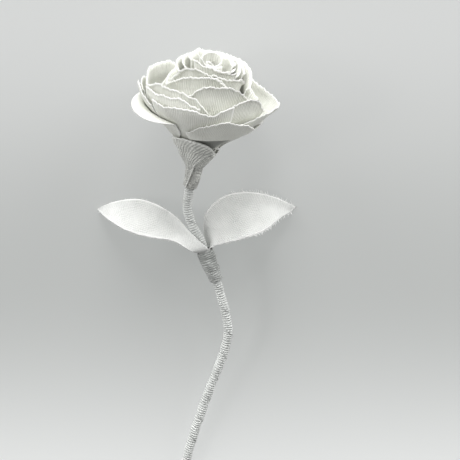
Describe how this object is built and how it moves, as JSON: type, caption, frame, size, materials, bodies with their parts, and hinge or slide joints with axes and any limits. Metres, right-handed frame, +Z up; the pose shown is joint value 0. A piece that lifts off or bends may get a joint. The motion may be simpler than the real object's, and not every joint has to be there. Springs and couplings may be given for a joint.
{
  "type": "cloth rose",
  "caption": "Single long-stemmed rose of cut and wrapped cotton cloth, with a full layered head, two leaves and a bowed stem.",
  "frame": {"origin": "middle of the bounding box's underside, on the surface that the rose lies on", "axes": "+Z up from that surface, +Y along the stem towards the head, +X towards the right leaf"},
  "size_m": [0.1048, 0.2378, 0.0663],
  "materials": {
    "petal_cloth": "matt ribbed white cotton, raw edges",
    "calyx_cloth": "matt white cotton, creased",
    "leaf_cloth": "matt plain-weave white cotton, raw edges",
    "stem_cloth": "matt ribbed white cotton strip, wound",
    "stem_wire": "plain drawn wire"
  },
  "bodies": {
    "root": {"broad_petal_back": "petal_cloth", "broad_petal_front": "petal_cloth", "bud_petal_back": "petal_cloth", "bud_petal_front": "petal_cloth", "bud_roll": "petal_cloth", "calyx_wrap": "calyx_cloth", "heart_petal_front": "petal_cloth", "heart_petal_left": "petal_cloth", "heart_petal_right": "petal_cloth", "inner_petal_front": "petal_cloth", "inner_petal_left": "petal_cloth", "inner_petal_right": "petal_cloth", "leaf_tie": "stem_cloth", "left_leaf": "leaf_cloth", "lowest_petal_back": "petal_cloth", "lowest_petal_far": "petal_cloth", "lowest_petal_front": "petal_cloth", "middle_petal_front": "petal_cloth", "middle_petal_left": "petal_cloth", "middle_petal_right": "petal_cloth", "outer_petal_back": "petal_cloth", "outer_petal_far": "petal_cloth", "outer_petal_left": "petal_cloth", "outer_petal_right": "petal_cloth", "ribbed_petal_back": "petal_cloth", "ribbed_petal_far": "petal_cloth", "ribbed_petal_front": "petal_cloth", "ribbed_petal_left": "petal_cloth", "right_leaf": "leaf_cloth", "side_petal_back": "petal_cloth", "side_petal_far": "petal_cloth", "side_petal_left": "petal_cloth", "side_petal_right": "petal_cloth", "stem_wire": "stem_wire", "stem_wrap": "stem_cloth", "turned_petal_left": "petal_cloth", "upper_petal_front": "petal_cloth", "upper_petal_left": "petal_cloth", "upper_petal_right": "petal_cloth"}
  },
  "joints": []
}
